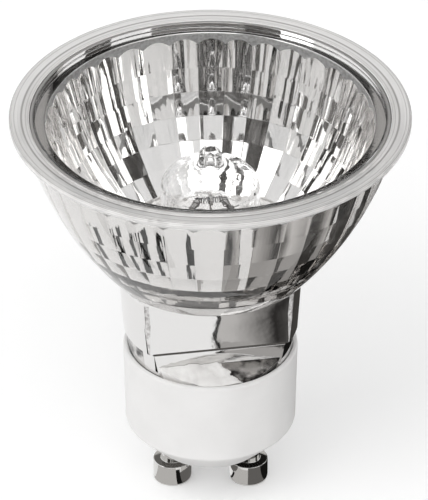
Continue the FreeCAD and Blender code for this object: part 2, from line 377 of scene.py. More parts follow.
for side, name in ((-1, "left"), (1, "right")):
    pin_low, pin_high = box_mm("contact_pin_" + name)
    head_radius = (pin_high.x - pin_low.x) / 2
    pin = spun([
        (0, 0),
        (head_radius, 0),
        (head_radius, pin_head_height),
        (pin_shank_radius, pin_head_height),
        (pin_shank_radius, cavity_floor),
        (pin_collar_radius, cavity_floor),
        (pin_collar_radius, pin_high.z),
        (pin_bore_radius, pin_high.z),
        (pin_bore_radius, pin_blind_end),
        (0, pin_blind_end),
    ], PIN_STEPS)
    soften(pin, head_radius, 0, width=0.15)
    soften(pin, head_radius, pin_head_height, width=0.12)
    soften(pin, pin_shank_radius, pin_head_height, width=0.1)
    soften(pin, pin_collar_radius, pin_high.z, width=0.15)
    bmesh.ops.translate(pin, vec=(side * pin_pitch / 2, 0, 0), verts=pin.verts)
    sharpen(pin, 40)
    finish_piece(pin, "contact_stud_" + name, "nickel_plate", [nickel_plate], "contact_pin_" + name)

# %% [markdown]
# ## The reflector
# The reflector is one pressing of clear glass. Inside, 36 upright flutes crossed by six rows of facets are
# coated with a mirror film of aluminium. Outside, the glass is smooth, so the film is seen through it from
# behind. The neck below has two flats and a bright silvered skin.
# Several finishes therefore share one mesh, and each face takes the one that its place on the lamp calls for.
# The first is the glass itself, which wavers a little, because it cooled against a mould and wasn't polished.

# %% Clear pressed glass
def wavy_finish(name, size, detail, strength, depth, look):
    """A smooth finish whose surface waves a little. The size and depth of the waves are in millimetres."""
    material, tree = new_material(name)
    place = add_node(tree, "ShaderNodeTexCoord").outputs["Object"]
    waves = add_node(tree, "ShaderNodeTexNoise", {"Vector": place, "Scale": per_mm(size), "Detail": detail})
    bump = add_node(tree, "ShaderNodeBump", {"Height": waves, "Strength": strength, "Distance": depth * MM})
    return shown(material, add_node(tree, "ShaderNodeBsdfPrincipled", {**look, "Normal": bump}))


# Clear pressed glass: sharp reflections that waver a little, as the mould left it.
pressed_glass = wavy_finish("glass_clear_pressed", size=3.0, detail=2, strength=0.35, depth=0.05, look={
    "Base Color": colour("#dad9d8"), "Roughness": 0.0, "IOR": 1.47, "Transmission Weight": 1.0})

# %% [markdown]
# The rim is thick and has no film. The mould left fine rings in it and a faint bloom on it.
# Wholly clear glass would turn nearly black here, because little of the light that enters a thick rim comes
# out towards the eye. So more than half of this finish is milky: the faint bloom, and a painted glow that
# stands in for the light the rim lets through.
# The rings are noise along one line, which runs from the outer edge inwards and down. They also tint the rim
# in pale and grey bands, painted light and dark lines such as clear glass shows by refraction.

# %% Glass of the rim
def rim_glass_painted_glow():
    """Rim glass: fine rings, a milky share that paints its glow, and bands that paint light and dark
    refraction lines.
    """
    material, tree = new_material("glass_rim_painted_glow_and_lines")
    place = add_node(tree, "ShaderNodeTexCoord").outputs["Object"]
    flat = add_node(tree, "ShaderNodeVectorMath", {0: place, 1: (1, 1, 0)}, operation="MULTIPLY")
    out = add_node(tree, "ShaderNodeVectorMath", {0: flat}, operation="LENGTH").outputs["Value"]
    up = add_node(tree, "ShaderNodeSeparateXYZ", {0: place}).outputs["Z"]
    reach = add_node(tree, "ShaderNodeMath", {0: out, 1: up}, operation="SUBTRACT")
    rings = add_node(tree, "ShaderNodeTexNoise", {"W": reach, "Scale": per_mm(0.5), "Detail": 2},
                     noise_dimensions="1D")
    # Pale and grey bands along the rings: painted light and dark refraction lines.
    tint = add_node(tree, "ShaderNodeValToRGB", {"Fac": rings}, stops=[(0.36, "#b4b2b0"), (0.5, "#f8f7f6")])
    bump = add_node(tree, "ShaderNodeBump", {"Height": rings, "Strength": 0.6, "Distance": 0.2 * MM})
    # Less than half of it clear: the milky rest is partly bloom, partly a painted glow.
    return shown(material, add_node(tree, "ShaderNodeBsdfPrincipled", {
        "Base Color": tint, "Roughness": 0.02, "IOR": 1.47, "Transmission Weight": 0.42, "Normal": bump}))


rim_glass = rim_glass_painted_glow()

# %% [markdown]
# The mirror film is aluminium that was evaporated onto the flutes in a vacuum. It is as smooth as the glass
# below it, apart from faint streaks along the flutes, where the plunger left the mould.
# A shell of metal could stand for it, but the eye sees no thickness in a film. It is therefore a metal finish
# on the inner faces of the glass, with noise that is stretched up the flutes.

# %% Aluminium film
def around_and_up(tree, across, along):
    """Coordinates that run round the axis and up it, in steps of these two sizes in millimetres."""
    place = add_node(tree, "ShaderNodeTexCoord").outputs["Object"]
    parts = add_node(tree, "ShaderNodeSeparateXYZ", {0: place}).outputs
    angle = add_node(tree, "ShaderNodeMath", {0: parts["Y"], 1: parts["X"]}, operation="ARCTAN2")
    mean_radius = 15 * MM
    turn = add_node(tree, "ShaderNodeMath", {0: angle, 1: mean_radius * per_mm(across)},
                    operation="MULTIPLY")
    rise = add_node(tree, "ShaderNodeMath", {0: parts["Z"], 1: per_mm(along)}, operation="MULTIPLY")
    return add_node(tree, "ShaderNodeCombineXYZ", {0: turn, 1: rise})


def aluminium_film():
    """Evaporated aluminium on pressed flutes: a bright mirror with faint streaks along the flutes."""
    material, tree = new_material("aluminium_mirror_film")
    streaks = add_node(tree, "ShaderNodeTexNoise", {"Vector": around_and_up(tree, 0.5, 9), "Scale": 1,
                                                    "Detail": 3}, noise_dimensions="2D")
    bump = add_node(tree, "ShaderNodeBump", {"Height": streaks, "Strength": 0.25, "Distance": 0.02 * MM})
    return shown(material, add_node(tree, "ShaderNodeBsdfPrincipled", {
        "Base Color": colour("#f4f3f2"), "Metallic": 1.0, "Roughness": 0.03, "Normal": bump}))


mirror_film = aluminium_film()

# %% [markdown]
# The neck is silvered too, but roughly. Above the step the skin is a wavering mirror. On the stub that goes
# into the base it is thin, with dark patches that stand for bare glass and also paint the shade and dark
# reflections round the foot of the neck. Along the upright corners it has rubbed off.
# One tree with masks could hold all three, but three small trees are easier to read and to tune.

# %% Silvering of the neck
def mottled_finish(name, size, detail, stops, look):
    """A finish of two tones, in patches of this size in millimetres."""
    material, tree = new_material(name)
    place = add_node(tree, "ShaderNodeTexCoord").outputs["Object"]
    patches = add_node(tree, "ShaderNodeTexNoise", {"Vector": place, "Scale": per_mm(size), "Detail": detail})
    tint = add_node(tree, "ShaderNodeValToRGB", {"Fac": patches}, stops=stops)
    return shown(material, add_node(tree, "ShaderNodeBsdfPrincipled", {**look, "Base Color": tint}))


# Silvering on the neck: a mirror that wavers, slightly blurred.
silvering = wavy_finish("silvered_glass_neck", size=4.0, detail=3, strength=0.4, depth=0.05, look={
    "Base Color": colour("#dedddc"), "Metallic": 1.0, "Roughness": 0.04})
# Silvering rubbed off an edge: grey and dull, with bright flakes left in it.
worn_silvering = mottled_finish("silvered_glass_worn", size=0.5, detail=3, look={"Roughness": 0.5},
                                stops=[(0.4, "#a9a6a5"), (0.62, "#dedddc")])
# Thin silvering on the stub: a grey mirror, with dark patches for bare glass that are also painted shade.
thin_silvering_painted_shade = mottled_finish("silvered_glass_thin_painted_shade", size=2.0, detail=3,
                                look={"Metallic": 1.0, "Roughness": 0.15},
                                stops=[(0.38, "#3a3837"), (0.56, "#cccac8")])

# %% [markdown]
# Between the arches of the flutes and the seat of the disc runs a narrow wall that the film leaves out.
# Light that has run along inside the glass comes out there, so it glows pale all round.
# That glow is hard to catch with clear glass, so the wall is drawn as what it looks like: pale and matt.

# %% Unsilvered edge
# Glass edge left without film: matt and pale, because it scatters the light that runs in the glass.
bare_edge = mottled_finish("glass_edge_unsilvered", size=0.4, detail=2, look={"Roughness": 0.5},
                           stops=[(0.35, "#dcdbda"), (0.6, "#fafaf9")])
reflector_finishes = [pressed_glass, rim_glass, mirror_film, silvering, worn_silvering, thin_silvering_painted_shade,
                      bare_edge]
CLEAR, RIM, FILM, SILVER, WORN, THIN_PAINTED_SHADE, BARE = range(len(reflector_finishes))

# %% [markdown]
# The bowl of the glass is an arc outside. The mirror inside is six straight rows that stand steeper towards
# the rim. Both are worked out first, from the rim down, because the sizes that the photograph shows best are
# those of the rim and the neck.

# %% Bowl and rows of the mirror
ROW_LEANS = (44, 52, 60, 67, 72, 74)
BOWL_STEPS = 28
seat_gap = 0.1
stub_height = 3.1
stub_flare = 0.45
neck_step = 0.25
neck_height = 8.0
neck_flare = 0.55
bowl_bulge = 1.55
flange_reach = 1.6
flange_depth = 1.8
rim_width = 2.6
seat_width = 2.0
seat_depth = 1.65
floor_glass = 3.7

spigot_radius = cavity_radius - seat_gap
stub_radius = cavity_radius + mouth_drop - seat_gap
step_level = base_top + stub_height
step_radius = stub_radius + stub_flare + neck_step
bowl_level = step_level + neck_height
neck_radius = step_radius + neck_flare
recess_radius = rim_radius - rim_width
ledge_radius = recess_radius - seat_width
mirror_top = ledge_level - seat_depth
mirror_floor = bowl_level + floor_glass


def arc_points(start, end, bulge, count):
    """Points of an arc from start to end that bulges away from the axis, both ends included."""
    start, end = Vector(start), Vector(end)
    half = (end - start).length / 2
    along = (end - start).normalized()
    outwards = Vector((along.y, -along.x))
    radius = (half * half + bulge * bulge) / (2 * bulge)
    centre = (start + end) / 2 - outwards * (radius - bulge)
    reach = math.asin(half / radius)
    angles = [reach * (2 * step / (count - 1) - 1) for step in range(count)]
    return [tuple(centre + radius * (outwards * math.cos(a) + along * math.sin(a))) for a in angles]


bowl = arc_points((neck_radius, bowl_level), (rim_radius - flange_reach, rim_top - flange_depth), bowl_bulge,
                  BOWL_STEPS)
leans = [math.radians(lean) for lean in ROW_LEANS]
row_length = (mirror_top - mirror_floor) / sum(math.sin(lean) for lean in leans)
rows = [(ledge_radius, mirror_top)]
for lean in reversed(leans):
    radius, height = rows[0]
    rows.insert(0, (radius - row_length * math.cos(lean), height - row_length * math.sin(lean)))
mirror_floor_radius = rows[0][0]
top_row = len(leans)
print("rows of %.2f mm, floor radius %.2f mm" % (row_length, mirror_floor_radius))

# %% [markdown]
# The whole section of the glass is one closed outline: up the outside of the neck and bowl, over the rim,
# along the seat of the front disc, down the mirror inside, and back through the slot that holds the burner.
# 288 steps put eight steps on each of the 36 flutes, so the flutes can be pressed into the spun rings later.
# The slot is spun round first and then squared, by limiting how far its vertices reach.

# %% Spin the glass
FLUTES = 36
STEPS_A_FLUTE = 8
rim_edge = 0.95
slot_x = 6.2
slot_y = 3.3
slot_radius = 6.9

spigot_end = reflector_low.z
glass = spun([
    (slot_radius, spigot_end),
    (spigot_radius, spigot_end),
    (spigot_radius, base_top - (stub_radius - spigot_radius)),
    (stub_radius, base_top),
    (step_radius - neck_step, step_level),
    (step_radius, step_level),
    *bowl,
    (rim_radius, rim_top - rim_edge),
    (rim_radius, rim_top),
    (recess_radius, disc_high.z),
    (recess_radius, ledge_level),
    (ledge_radius, ledge_level),
    *reversed(rows),
    (slot_radius, mirror_floor),
], FLUTES * STEPS_A_FLUTE, closed=True)
soften(glass, rim_radius, rim_top, width=0.4, segments=5)
soften(glass, rim_radius, rim_top - rim_edge, width=0.3)
soften(glass, recess_radius, disc_high.z, width=0.15)
soften(glass, ledge_radius, ledge_level, width=0.15)
soften(glass, *bowl[-1], width=0.4)
soften(glass, *bowl[0], width=0.5)
soften(glass, step_radius, step_level, width=0.1)
for vert in glass.verts:
    if vert.co.xy.length < slot_radius + CLOSE:
        vert.co.x = max(-slot_x, min(slot_x, vert.co.x))
        vert.co.y = max(-slot_y, min(slot_y, vert.co.y))
print("glass spun:", len(glass.faces), "faces")

# %% [markdown]
# The flats of the neck cross the round outline, so they are cut with two blocks on each side.
# The upper block has a rounded inner edge, which leaves a fillet under the bowl. The lower one stays a step
# further out, where the stub goes into the base.

# %% Cut the flats
neck_flats_cut = 2.7
neck_flat = spigot_radius - neck_flats_cut
flats_ceiling = bowl_level + 1.5
flats_fillet = 1.6
block_reach = 20.0


def flat_block(inner, low, high, half_turn):
    """A block that takes everything beyond a flat, on one side of the neck."""
    bm = bmesh.new()
    bmesh.ops.create_cube(bm, size=1)
    bmesh.ops.scale(bm, vec=(2 * block_reach, block_reach, high - low), verts=bm.verts)
    bmesh.ops.translate(bm, vec=(0, inner + block_reach / 2, (low + high) / 2), verts=bm.verts)
    if high == flats_ceiling:
        inner_top = [edge for edge in bm.edges
                     if all(abs(v.co.y - inner) < CLOSE and abs(v.co.z - high) < CLOSE for v in edge.verts)]
        bmesh.ops.bevel(bm, geom=inner_top, offset=flats_fillet, affect="EDGES", segments=10, profile=0.5,
                        material=-1)
    bmesh.ops.rotate(bm, cent=(0, 0, 0), matrix=Matrix.Rotation(half_turn, 3, "Z"), verts=bm.verts)
    return bm


blocks = []
for half_turn in (0, math.pi):
    blocks.append(flat_block(neck_flat, step_level, flats_ceiling, half_turn))
    blocks.append(flat_block(neck_flat + neck_step, spigot_end - 1, step_level, half_turn))
glass = cut_away(glass, blocks)
print("flats cut:", len(glass.faces), "faces")

# %% [markdown]
# The shoulder between the two depths of the flat is rounded, as pressed glass always is.
# The upright corners of the flats get a narrow bevel instead, because its faces can then carry the finish of
# the worn silvering, as a strip along each corner.

# %% Round the shoulders and wear the corners
shoulder_round = 0.2
wear_width = 0.5
corner_turn = 0.5
corner_length = 0.2


def in_flat_plane(vert, inner):
    """Whether a vertex lies in the plane of a flat at this distance from the axis."""
    return abs(abs(vert.co.y) - inner) < CLOSE


shoulders = [edge for edge in glass.edges
             if all(in_flat_plane(v, neck_flat + neck_step) and abs(v.co.z - step_level) < CLOSE
                    for v in edge.verts)]
bmesh.ops.bevel(glass, geom=shoulders, offset=shoulder_round, affect="EDGES", segments=4, profile=0.5,
                material=-1)
corners = [edge for edge in glass.edges
           if all(in_flat_plane(v, neck_flat) and abs(v.co.x) > slot_radius for v in edge.verts)
           and edge.calc_face_angle(0) > corner_turn and min(v.co.z for v in edge.verts) > step_level - CLOSE
           and abs(edge.verts[0].co.z - edge.verts[1].co.z) > corner_length]
worn_faces = bmesh.ops.bevel(glass, geom=corners, offset=wear_width, affect="EDGES", segments=1, profile=0.5,
                             material=-1)["faces"]
print("corners worn:", len(corners), "edges,", len(worn_faces), "faces")

# %% [markdown]
# The flutes come last, by moving vertices that are already there. Every ring of the mirror is drawn in from
# the circle to the straight line between two cusps, and a hair further, so that each flute bows a little
# towards the axis. A stronger bow would break each reflection into thin streaks.
# The flutes lean outwards and end on a round wall, so the middle of a flute reaches that wall higher up than
# its cusps, and each one ends in an arch. The arches are raised a little more, as on the real lamp.

# %% Press the flutes
FLUTE_ANGLE = FULL_TURN / FLUTES
flute_crown = 0.07
arch_rise = 0.07


def off_middle(vert):
    """The angle of a vertex from the middle of its flute."""
    turn = math.atan2(vert.co.y, vert.co.x) / FLUTE_ANGLE
    return (turn - round(turn)) * FLUTE_ANGLE


row_of = {}
for vert in glass.verts:
    for number, (radius, height) in enumerate(rows):
        if on_ring(vert, radius, height):
            row_of[vert] = number

for vert, number in row_of.items():
    angle = off_middle(vert)
    chord = math.cos(FLUTE_ANGLE / 2) / math.cos(angle)
    bow = 1 - (2 * angle / FLUTE_ANGLE) ** 2
    if number == top_row:
        vert.co.z += (ledge_radius * (1 - chord) + (flute_crown + arch_rise) * bow) * math.tan(leans[-1])
    else:
        vert.co.xy *= chord - flute_crown * bow / ledge_radius
print("vertices on flutes:", len(row_of))

# %% [markdown]
# Each face now takes its finish by where it lies. Painting faces by hand would be lost with every change of
# a size, so a few questions about a face's middle decide, from the top of the lamp down.

# %% Sort the faces
rim_depth = 2.2
seat_margin = 1.0
upright_limit = 0.3


def finish_of(face):
    """The number of the finish that a face of the reflector has by its place."""
    centre = face.calc_center_median()
    reach = centre.xy.length
    in_flat = centre.z < flats_ceiling + CLOSE and abs(abs(centre.y) - neck_flat) < flats_fillet
    in_slot = reach < mirror_floor_radius
    on_seat = reach < recess_radius - CLOSE and centre.z > mirror_top - seat_margin
    on_rows = all(vert in row_of for vert in face.verts)
    if on_seat and abs(face.normal.z) < upright_limit and reach < recess_radius - seat_margin:
        return BARE
    if on_rows or on_seat or (in_slot and not in_flat and centre.z > bowl_level):
        return FILM
    if reach > recess_radius - CLOSE and centre.z > rim_top - rim_depth:
        return RIM
    if centre.z < step_level and not in_flat:
        return THIN_PAINTED_SHADE
    if centre.z < bowl_level or in_flat or in_slot:
        return SILVER
    return CLEAR


for face in glass.faces:
    face.material_index = finish_of(face)
for face in worn_faces:
    if face.is_valid:
        face.material_index = WORN
print("mirror faces:", sum(face.material_index == FILM for face in glass.faces))

# %% [markdown]
# Edges between rows and at the cusps get a tiny bevel, because molten glass never fills a mould's corner
# sharply. The edges of the arches stay as they are, since the film ends there.

# %% Round the ridges and finish the reflector
ridge_round = 0.07

ridges = []
for edge in glass.edges:
    first, second = edge.verts
    if first in row_of and second in row_of and top_row not in (row_of[first], row_of[second]):
        between_rows = row_of[first] == row_of[second] > 0
        at_cusp = row_of[first] != row_of[second] and abs(abs(off_middle(first)) - FLUTE_ANGLE / 2) < CLOSE
        if between_rows or at_cusp:
            ridges.append(edge)
bmesh.ops.bevel(glass, geom=ridges, offset=ridge_round, affect="EDGES", segments=2, profile=0.5, material=-1)
sharpen(glass, 30)
turn_with_reflector(glass)
finish_piece(glass, "fluted_reflector", "reflector_glass", reflector_finishes, "reflector")

# %% [markdown]
# ## The front disc and its bead
# A flat disc of clear glass keeps fingers off the burner. A thin ring of clear silicone holds it in its seat.
# Sheet glass is far flatter than pressed glass, so its waves are long and low.
# Silicone cures milky, and it stands darker than the glass on both sides of it.

# %% Sheet glass and silicone
# Drawn sheet glass: nearly flat, so it only adds a soft veil of reflected studio.
disc_glass = wavy_finish("glass_drawn_sheet", size=12, detail=1, strength=0.1, depth=0.02, look={
    "Base Color": colour("#fefefe"), "Roughness": 0.0, "IOR": 1.52, "Transmission Weight": 1.0})
# Cured silicone: milky and soft-edged, darker than the glass around it.
silicone = wavy_finish("silicone_clear_cured", size=0.8, detail=2, strength=0.5, depth=0.1, look={
    "Base Color": colour("#b0aeac"), "Roughness": 0.3, "IOR": 1.41, "Transmission Weight": 0.3})

# %% [markdown]
# The disc is a capped circle, extruded to its thickness, with both rims ground off by a small bevel.
# It stands a hair above its seat, because two glass faces in the same place confuse the light.
# The bead is a ring with a square section, spun like the other round pieces, and rounded on top.

# %% Make the disc and the bead
disc_lift = 0.02
ground_edge = 0.15
bead_gap = 0.05
bead_round = 0.12

disc_radius = disc_high.x
disc = bmesh.new()
bmesh.ops.create_circle(disc, cap_ends=True, radius=disc_radius, segments=ROUND_STEPS,
                        matrix=Matrix.Translation((0, 0, ledge_level + disc_lift)))
lifted = bmesh.ops.extrude_face_region(disc, geom=disc.faces[:], use_keep_orig=True)["geom"]
top = [item for item in lifted if isinstance(item, bmesh.types.BMVert)]
bmesh.ops.translate(disc, vec=(0, 0, disc_high.z - ledge_level - disc_lift), verts=top)
bmesh.ops.recalc_face_normals(disc, faces=disc.faces)
soften(disc, disc_radius, disc_high.z, width=ground_edge)
soften(disc, disc_radius, ledge_level + disc_lift, width=ground_edge)
sharpen(disc, 30)
finish_piece(disc, "front_disc", "front_glass", [disc_glass], "front_glass")

bead_low, bead_high = box_mm("front_glass_bead")
bead_radius = bead_high.x
bead_width = bead_radius - disc_radius - bead_gap
bead = spun([
    (bead_radius - bead_width, bead_low.z),
    (bead_radius, bead_low.z),
    (bead_radius, bead_high.z),
    (bead_radius - bead_width, bead_high.z),
], ROUND_STEPS, closed=True)
soften(bead, bead_radius, bead_high.z, width=bead_round)
soften(bead, bead_radius - bead_width, bead_high.z, width=bead_round)
sharpen(bead, 40)
finish_piece(bead, "silicone_bead", "silicone", [silicone], "front_glass_bead")

# %% [markdown]
# ## The burner
# The burner is a bubble of fused quartz with a sealed-off exhaust tip on top and a flat pinch below, where
# the glass was pressed shut round its foils while soft.
# Quartz is the clearest of the glasses here. The ripples of the blowing are what the eye sees of it, so they
# are a bump that is stronger than on the pressed glass.

# %% Fused quartz
# Fused quartz: very clear, with drawn ripples from the blowing.
quartz = wavy_finish("quartz_fused_clear", size=1.6, detail=2, strength=0.5, depth=0.1, look={
    "Base Color": colour("#ffffff"), "Roughness": 0.0, "IOR": 1.458, "Transmission Weight": 1.0})

# %% [markdown]
# An outer and an inner skin are spun one by one, because clear glass needs both walls to bend light properly.
# Below the shoulder each ring is squeezed towards the pinch, by limiting how far it reaches sideways.
# That is what the pressing jaws did, and it leaves the smooth change from round to flat that they left.

# %% Spin and squeeze the outer skin
CAPSULE_STEPS = 96
DOME_STEPS = 12
SQUEEZE_STEPS = 10
TIP_ROUNDING = ((1, 1), (0.92, 0.61), (0.71, 0.29), (0.38, 0.075), (0, 0))
capsule_radius = 6.4
capsule_dome = 4.0
dome_share = 0.78
tip_radius = 1.45
tip_flare = 0.25
tip_sink = 0.05
tip_foot = 0.3
pinch_half_x = 5.5
pinch_half_y = 1.7
pinch_rise = 0.2
pinch_edge = 0.3
shoulder_rise = 3.6
side_height = 3.8

pinch_bottom = capsule_low.z
pinch_top = mirror_floor + pinch_rise
shoulder = pinch_top + shoulder_rise
dome_level = shoulder + side_height
crown = dome_level + capsule_dome
tip_end = capsule_high.z


def dome_outline(radius, rise, last):
    """Points of an ellipse from its side towards its top, ending at this share of a quarter turn."""
    angles = [last * math.pi / 2 * step / DOME_STEPS for step in range(DOME_STEPS + 1)]
    return [(radius * math.cos(a), dome_level + rise * math.sin(a)) for a in angles]


def tip_outline():
    """Points of the round end of the exhaust tip, from its side to its top."""
    return [(tip_radius * out, tip_end - tip_radius * down) for out, down in TIP_ROUNDING]


def squeezed_outline(radius, low):
    """Points straight up from this level to the shoulder, for the rings that are squeezed."""
    return [(radius, low + (shoulder - low) * step / SQUEEZE_STEPS) for step in range(SQUEEZE_STEPS + 1)]


def squeeze(bm, radius, half_x, half_y, low):
    """Presses the rings below the shoulder flat, down to the pinch."""
    for vert in bm.verts:
        share = max(0, min(1, (vert.co.z - low) / (shoulder - low)))
        limit = half_y + (radius - half_y) * share
        vert.co.y = max(-limit, min(limit, vert.co.y))
        if vert.co.z < low + CLOSE:
            vert.co.x = max(-half_x, min(half_x, vert.co.x))


pinch_corner = math.hypot(pinch_half_x, pinch_half_y)
burner = spun([
    (0, pinch_bottom),
    (pinch_corner, pinch_bottom),
    (pinch_corner, pinch_top),
    *squeezed_outline(capsule_radius, pinch_top + pinch_edge),
    *dome_outline(capsule_radius, capsule_dome, dome_share)[1:],
    (tip_radius + tip_flare, crown - tip_sink),
    (tip_radius, crown + tip_foot),
    *tip_outline(),
], CAPSULE_STEPS)
squeeze(burner, capsule_radius, pinch_half_x, pinch_half_y, pinch_top)
print("outer skin:", len(burner.faces), "faces")

# %% [markdown]
# The inner skin follows the outer one at the thickness of the wall, and runs up into the exhaust tip.
# Its faces are turned round, so that they point into the hollow, away from the quartz.

# %% Line the burner with its inner skin
capsule_wall = 0.9
hollow_dome_share = 0.9
exhaust_radius = 0.6
exhaust_foot = 0.2
exhaust_taper = 0.8
exhaust_rise = 0.9
exhaust_end = 1.3

bore = capsule_radius - capsule_wall
hollow_low = pinch_top + capsule_wall
inner = spun([
    (0, hollow_low),
    *squeezed_outline(bore, hollow_low),
    *dome_outline(bore, capsule_dome - capsule_wall, hollow_dome_share)[1:],
    (exhaust_radius, crown - capsule_wall + exhaust_foot),
    (exhaust_radius * exhaust_taper, crown + exhaust_rise),
    (0, crown + exhaust_end),
], CAPSULE_STEPS)
squeeze(inner, bore, bore, pinch_half_y - capsule_wall, hollow_low)
bmesh.ops.reverse_faces(inner, faces=inner.faces)
take_in(burner, inner)
sharpen(burner, 50)
turn_with_reflector(burner)
finish_piece(burner, "quartz_burner", "quartz", [quartz], "capsule_envelope")

# %% [markdown]
# ## The filament and its wires
# The filament is tungsten, the foils and stiff wires are molybdenum, and the outer leads are nickel.
# All are drawn or rolled metals with fine lengthwise marks, so one function makes the three of them.
# The marks are finer than the render can show, so they are drawn a tenth of a millimetre wide.

# %% Metals of the burner
def drawn_metal(name, code, roughness):
    """Drawn wire or rolled foil: grey metal with fine lengthwise marks, dulled a little by heat."""
    material, tree = new_material(name)
    place = add_node(tree, "ShaderNodeTexCoord").outputs["Object"]
    stretch = add_node(tree, "ShaderNodeMapping", {"Vector": place, "Scale": (1, 1, 0.1)})
    marks = add_node(tree, "ShaderNodeTexNoise", {"Vector": stretch, "Scale": per_mm(0.1), "Detail": 2})
    blur = add_node(tree, "ShaderNodeMapRange", {"Value": marks, 1: 0.3, 2: 0.7, 3: roughness * 0.8,
                                                 4: roughness * 1.25})
    bump = add_node(tree, "ShaderNodeBump", {"Height": marks, "Strength": 0.2, "Distance": 0.01 * MM})
    return shown(material, add_node(tree, "ShaderNodeBsdfPrincipled", {
        "Base Color": colour(code), "Metallic": 1.0, "Roughness": blur, "Normal": bump}))


tungsten = drawn_metal("tungsten_coiled_wire", "#8d8a88", 0.35)
molybdenum = drawn_metal("molybdenum_rolled", "#a9a6a3", 0.3)
nickel_wire = drawn_metal("nickel_drawn_wire", "#c6c1ba", 0.25)

# %% [markdown]
# The filament is a coil of thin wire, folded over a hook. Its solid is only the outer form, a bent rod.
# Here the coil is real. A spun ring with a Screw modifier could wind a straight coil, but not one with folds.
# So a loop walks along the folded path and winds points round it, and a curve with a round section follows.

# %% Wind the points of the coil
POINTS_A_TURN = 14
coil_radius = 0.42
coil_pitch = 0.3
coil_drop = 0.5
fold = 1.6
foot = 3.15
root = 1.2

filament_low, filament_high = box_mm("filament")
coil_top = filament_high.z - coil_drop
coil_bottom = filament_low.z
bends = [Vector((foot, 0, coil_bottom)), Vector((foot, 0, coil_bottom + root)), Vector((fold, 0, coil_top))]
bends += [Vector((-bend.x, 0, bend.z)) for bend in reversed(bends)]
turns = 0.0
points = []
for start, end in zip(bends, bends[1:]):
    along = (end - start).normalized()
    sideways = Vector((0, 1, 0))
    upright = along.cross(sideways)
    count = int((end - start).length / coil_pitch * POINTS_A_TURN)
    for step in range(count):
        centre = start.lerp(end, step / count)
        angle = FULL_TURN * turns
        points.append(centre + coil_radius * (sideways * math.cos(angle) + upright * math.sin(angle)))
        turns += 1 / POINTS_A_TURN
print("coil of", round(turns), "turns")

# %% [markdown]
# The curve is made a mesh at once, with its place in the mesh, because a piece sits at the origin, unturned.

# %% Make the coil a piece
coil_wire = 0.08

path = bpy.data.curves.new("coil_path", "CURVE")
path.dimensions = "3D"
path.bevel_depth = coil_wire * MM
path.bevel_resolution = 1
spline = path.splines.new("POLY")
spline.points.add(len(points) - 1)
for point, place in zip(spline.points, points):
    point.co = (*(Matrix.Rotation(reflector_turn, 3, "Z") @ place * MM), 1)
coil_curve = bpy.data.objects.new("coil_curve", path)
scene.collection.objects.link(coil_curve)
coil_mesh = bpy.data.meshes.new_from_object(coil_curve.evaluated_get(bpy.context.evaluated_depsgraph_get()))
bpy.data.curves.remove(path)
coil_mesh.materials.clear()
coil_mesh.materials.append(tungsten)
coil = bpy.data.objects.new("filament_coil", coil_mesh)
scene.collection.objects.link(coil)
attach(coil, "root")
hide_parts("filament")
print("filament_coil", len(coil_mesh.polygons), "faces")

# %% [markdown]
# ## Cement
# White cement fills the neck round the pinch and holds the neck in the base. It is mixed as a paste and sets
# gritty, with no shine. Clouds in its colour and grains in a bump are enough to tell it from the smooth
# ceramic beside it.

# %% Gritty white cement
def gritty_cement():
    """Set ceramic paste: chalky, full of pits and grains, with no shine at all."""
    material, tree = new_material("cement_white_set")
    place = add_node(tree, "ShaderNodeTexCoord").outputs["Object"]
    clouds = add_node(tree, "ShaderNodeTexNoise", {"Vector": place, "Scale": per_mm(2.2), "Detail": 5})
    grains = add_node(tree, "ShaderNodeTexNoise", {"Vector": place, "Scale": per_mm(0.4), "Detail": 4})
    tint = add_node(tree, "ShaderNodeValToRGB", {"Fac": clouds}, stops=[(0.3, "#e2e0de"), (0.65, "#f3f2f0")])
    bump = add_node(tree, "ShaderNodeBump", {"Height": grains, "Strength": 0.4, "Distance": 0.08 * MM})
    return shown(material, add_node(tree, "ShaderNodeBsdfPrincipled", {
        "Base Color": tint, "Roughness": 0.85, "Normal": bump}))


cement = gritty_cement()

# %% [markdown]
# Where the cement shows, between the flat of the neck and the lip of the base, it lies in a lumpy layer.
# On the right a piece of it broke away and lies lower. There it takes the thin silvering of the stub, whose
# dark patches paint the shade and dark reflections of that hollow.
# The layer rises towards the flat. Noise gives its lumps, and also the ragged line where it broke.

# %% How high the cement stands
lump_height = 0.22
lumps_a_mm = 0.5
grain_height = 0.1
grains_a_mm = 1.4
layer_height = 0.25
layer_rise = 1.4
layer_foot = 0.3
break_reach = 2.6
break_ragged = 0.5
breaks_a_mm = 1.6
break_edge = 0.3
cement_gap = 0.05

cement_floor = box_mm("base_cement")[0].z
cement_radius = cavity_radius - cement_gap
cement_flat = neck_flat + neck_step + cement_gap
lip_radius = cavity_radius + mouth_drop - seat_gap
chamfer_level = base_top - mouth_drop


def heap_height(x, y, side):
    """How high the cement stands at a place beside the flat, and whether it is still there, from 0 to 1."""
    to_flat = 1 - (abs(y) - cement_flat) / (lip_radius - cement_flat)
    lumps = noise.noise(Vector((x * lumps_a_mm, y * lumps_a_mm, side))) * lump_height
    grains = noise.noise(Vector((x * grains_a_mm, y * grains_a_mm, 5))) * grain_height
    edge = break_reach * (1 - to_flat) + break_ragged * noise.noise(Vector((y * breaks_a_mm, 2, side)))
    whole = max(0, min(1, (edge - x * -side) / break_edge))
    return base_top - layer_foot + layer_rise * to_flat + (layer_height + lumps + grains) * whole, whole


def stay_in_cup(vert):
    """Moves a vertex in from the wall of the cup, which opens out towards the lip."""
    limit = cement_radius + max(0, min(vert.co.z - chamfer_level, lip_radius - cement_radius))
    if vert.co.xy.length > limit:
        side = math.copysign(1, vert.co.y)
        vert.co.xy *= limit / vert.co.xy.length
        vert.co.y = side * max(abs(vert.co.y), cement_flat)


print("cement reaches %.2f mm at the lip" % lip_radius)

